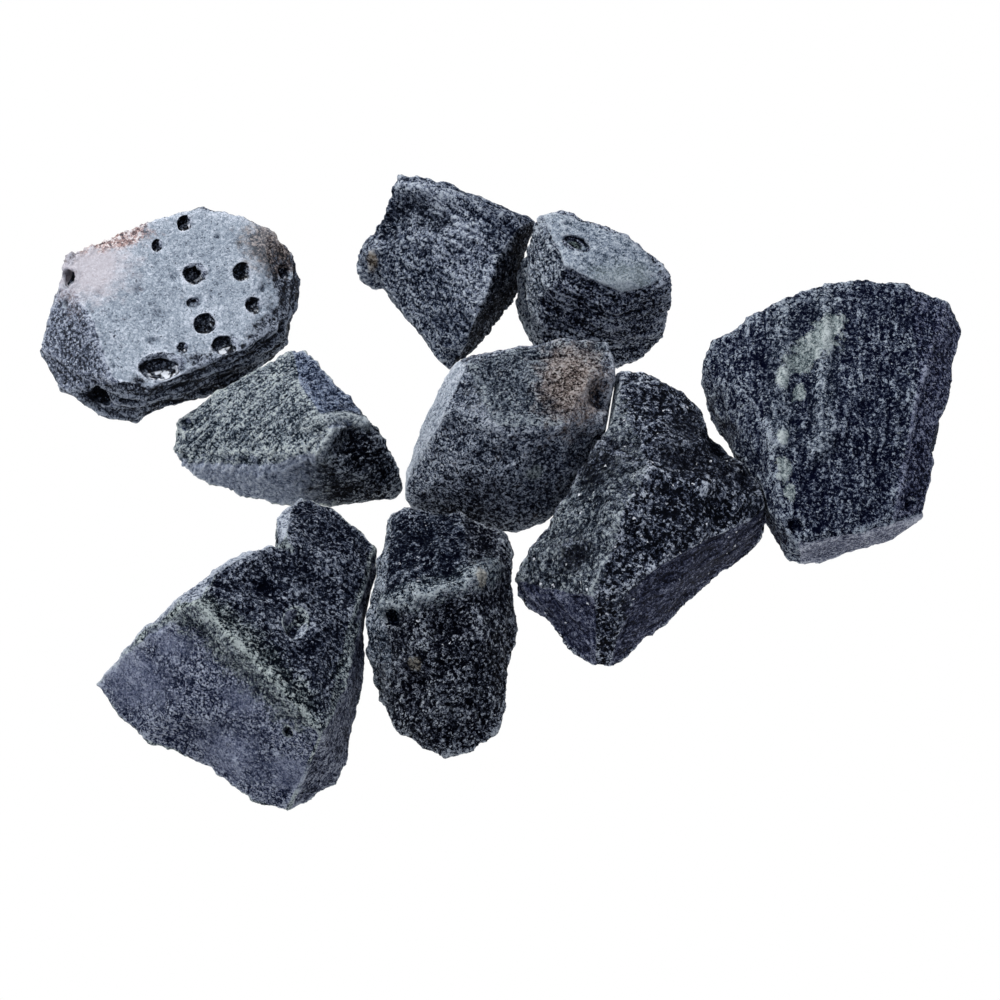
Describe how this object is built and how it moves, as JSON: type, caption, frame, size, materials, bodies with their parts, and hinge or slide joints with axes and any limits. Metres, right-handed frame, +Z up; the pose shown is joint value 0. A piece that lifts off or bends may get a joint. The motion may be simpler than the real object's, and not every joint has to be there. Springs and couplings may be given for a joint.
{
  "type": "basalt stone set",
  "caption": "Loose rough-broken basalt heat stones lying side by side, one pitted with gas bubbles, for a sauna heater or hot-stone use.",
  "frame": {"origin": "middle of the group, on the flat surface that the stones lie on", "axes": "+X along the group's longest side, +Y to its back, +Z up out of the surface"},
  "size_m": [0.2966, 0.2098, 0.042],
  "materials": {
    "blistered_basalt": "satin",
    "green_dusted_basalt": "matte",
    "grey_fractured_basalt": "matte",
    "pale_topped_basalt": "matte",
    "warm_patched_basalt": "matte",
    "glittering_basalt": "matte",
    "streaked_basalt": "matte",
    "violet_faced_basalt": "matte",
    "near_black_basalt": "matte"
  },
  "bodies": {
    "centre_stone": {"centre_stone": "warm_patched_basalt"},
    "pitted_stone": {"pitted_stone": "blistered_basalt"},
    "wedge_stone": {"wedge_stone": "green_dusted_basalt"},
    "pointed_stone": {"pointed_stone": "grey_fractured_basalt"},
    "block_stone": {"block_stone": "pale_topped_basalt"},
    "ridged_stone": {"ridged_stone": "glittering_basalt"},
    "slab_stone": {"slab_stone": "streaked_basalt"},
    "large_stone": {"large_stone": "violet_faced_basalt"},
    "long_stone": {"long_stone": "near_black_basalt"}
  },
  "joints": [
    {"name": "lift_pitted_stone", "type": "slide", "parent": "centre_stone", "child": "pitted_stone", "axis": [0, 0, 1], "range_m": [0, 0.1]},
    {"name": "lift_wedge_stone", "type": "slide", "parent": "centre_stone", "child": "wedge_stone", "axis": [0, 0, 1], "range_m": [0, 0.1]},
    {"name": "lift_pointed_stone", "type": "slide", "parent": "centre_stone", "child": "pointed_stone", "axis": [0, 0, 1], "range_m": [0, 0.1]},
    {"name": "lift_block_stone", "type": "slide", "parent": "centre_stone", "child": "block_stone", "axis": [0, 0, 1], "range_m": [0, 0.1]},
    {"name": "lift_ridged_stone", "type": "slide", "parent": "centre_stone", "child": "ridged_stone", "axis": [0, 0, 1], "range_m": [0, 0.1]},
    {"name": "lift_slab_stone", "type": "slide", "parent": "centre_stone", "child": "slab_stone", "axis": [0, 0, 1], "range_m": [0, 0.1]},
    {"name": "lift_large_stone", "type": "slide", "parent": "centre_stone", "child": "large_stone", "axis": [0, 0, 1], "range_m": [0, 0.1]},
    {"name": "lift_long_stone", "type": "slide", "parent": "centre_stone", "child": "long_stone", "axis": [0, 0, 1], "range_m": [0, 0.1]}
  ]
}
